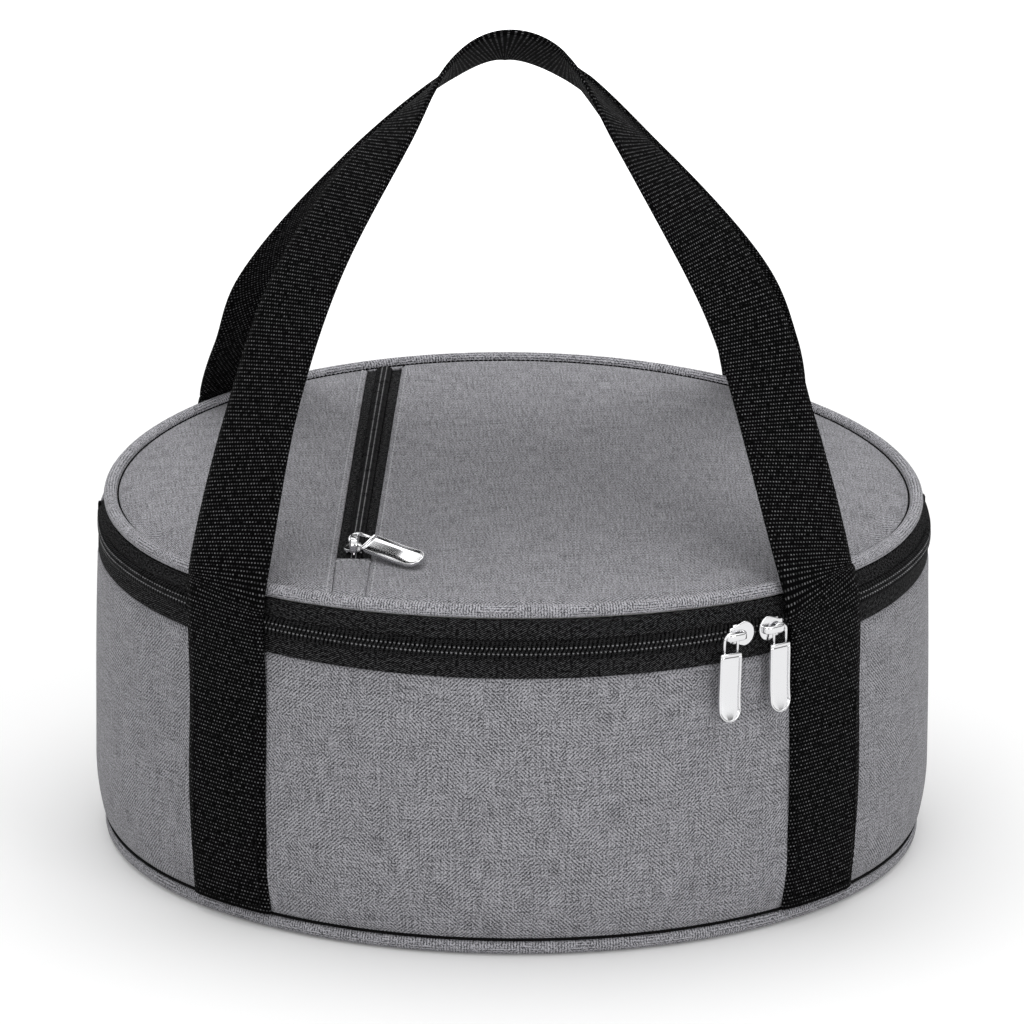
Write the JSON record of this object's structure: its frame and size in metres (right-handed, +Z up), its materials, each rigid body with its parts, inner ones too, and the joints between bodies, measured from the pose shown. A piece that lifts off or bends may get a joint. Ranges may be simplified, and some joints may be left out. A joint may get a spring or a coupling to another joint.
{
  "type": "insulated lunch bag",
  "caption": "Round insulated carry bag: padded grey drum with a front-zipped fold-back lid, a zipped lid pocket and webbing handles.",
  "frame": {"origin": "centre of the base cloth, on the table", "axes": "+Z up through the lid; -Y to the front, where the zip sliders are; +X to the right seen from the front"},
  "size_m": [0.3038, 0.3019, 0.3118],
  "materials": {
    "cloth": "heathered grey twill, matt",
    "piping": "the same twill rolled over a cord",
    "zip_tape": "black woven tape",
    "webbing": "black ribbed webbing",
    "lining": "dark lining cloth",
    "foil": "silvered film, crinkled",
    "foam": "closed-cell foam",
    "board": "stiff sheet",
    "nylon": "moulded nylon coil",
    "chrome": "polished plate"
  },
  "bodies": {
    "shell": {"base_panel": "cloth", "base_piping": "piping", "base_board": "board", "base_foam": "foam", "base_liner": "foil", "wall_panel": "cloth", "wall_foam": "foam", "wall_liner": "foil", "rim_binding": "zip_tape", "lower_zip_tape": "zip_tape", "lower_zip_coil": "nylon", "zip_stop_left": "nylon", "zip_stop_right": "nylon", "back_band": "cloth", "back_band_liner": "foil", "lid_rear_left_panel": "cloth", "lid_rear_right_panel": "cloth", "pocket_rear_patch": "cloth", "lid_rear_pocket_lining": "lining", "lid_rear_foam": "foam", "lid_rear_liner": "foil", "lid_rear_piping": "piping", "pocket_rear_left_tape": "zip_tape", "pocket_rear_left_coil": "nylon", "pocket_rear_right_tape": "zip_tape", "pocket_rear_right_coil": "nylon", "front_left_anchor": "webbing", "front_right_anchor": "webbing", "back_left_anchor": "webbing", "back_right_anchor": "webbing"},
    "lid_flap": {"lid_front_left_panel": "cloth", "lid_front_right_panel": "cloth", "pocket_front_patch": "cloth", "lid_front_pocket_lining": "lining", "lid_front_foam": "foam", "lid_front_liner": "foil", "lid_front_piping": "piping", "lid_binding": "zip_tape", "upper_zip_tape": "zip_tape", "upper_zip_coil": "nylon", "pocket_front_left_tape": "zip_tape", "pocket_front_left_coil": "nylon", "pocket_front_right_tape": "zip_tape", "pocket_front_right_coil": "nylon"},
    "front_handle": {"front_handle_loop": "webbing"},
    "back_handle": {"back_handle_loop": "webbing"},
    "left_rim_slider": {"left_slider": "chrome"},
    "left_rim_pull": {"left_pull": "chrome"},
    "right_rim_slider": {"right_slider": "chrome"},
    "right_rim_pull": {"right_pull": "chrome"},
    "lid_pocket_slider": {"pocket_slider": "chrome"},
    "lid_pocket_pull": {"pocket_pull": "chrome"}
  },
  "joints": [
    {"name": "lid_fold", "type": "hinge", "parent": "shell", "child": "lid_flap", "pos_m": [0, 0.01598, 0.1335], "axis": [-1, 0, 0], "range_deg": [0, 110]},
    {"name": "front_handle_fold", "type": "hinge", "parent": "shell", "child": "front_handle", "pos_m": [0, -0.1255, 0.0821], "axis": [1, 0, 0], "range_deg": [0, 120]},
    {"name": "back_handle_fold", "type": "hinge", "parent": "shell", "child": "back_handle", "pos_m": [0, 0.1345, 0.0821], "axis": [-1, 0, 0], "range_deg": [0, 120]},
    {"name": "left_slider_run", "type": "hinge", "parent": "shell", "child": "left_rim_slider", "pos_m": [0, 0, 0.1171], "axis": [0, 0, -1], "range_deg": [0, 119.4]},
    {"name": "right_slider_run", "type": "hinge", "parent": "shell", "child": "right_rim_slider", "pos_m": [0, 0, 0.1171], "axis": [0, 0, 1], "range_deg": [0, 55]},
    {"name": "left_pull_swing", "type": "hinge", "parent": "left_rim_slider", "child": "left_rim_pull", "pos_m": [0.07494, -0.13626, 0.1171], "axis": [-0.8712, -0.4909, 0], "range_deg": [0, 140]},
    {"name": "right_pull_swing", "type": "hinge", "parent": "right_rim_slider", "child": "right_rim_pull", "pos_m": [0.0905, -0.12646, 0.1171], "axis": [-0.8191, -0.5736, 0], "range_deg": [0, 140]},
    {"name": "pocket_slider_run", "type": "slide", "parent": "lid_flap", "child": "lid_pocket_slider", "axis": [0.0941, 0.9956, 0], "range_m": [0, 0.075]},
    {"name": "pocket_pull_swing", "type": "hinge", "parent": "lid_pocket_slider", "child": "lid_pocket_pull", "pos_m": [-0.06112, -0.0827, 0.1362], "axis": [-0.7193, -0.6947, 0], "range_deg": [0, 90]}
  ],
  "couplings": [
    {"joint": "front_handle_fold", "follows": "lid_fold", "ratio": 1.0909},
    {"joint": "back_handle_fold", "follows": "lid_fold", "ratio": 1.0909},
    {"joint": "left_slider_run", "follows": "lid_fold", "ratio": 1.0854},
    {"joint": "right_slider_run", "follows": "lid_fold", "ratio": 0.5}
  ]
}
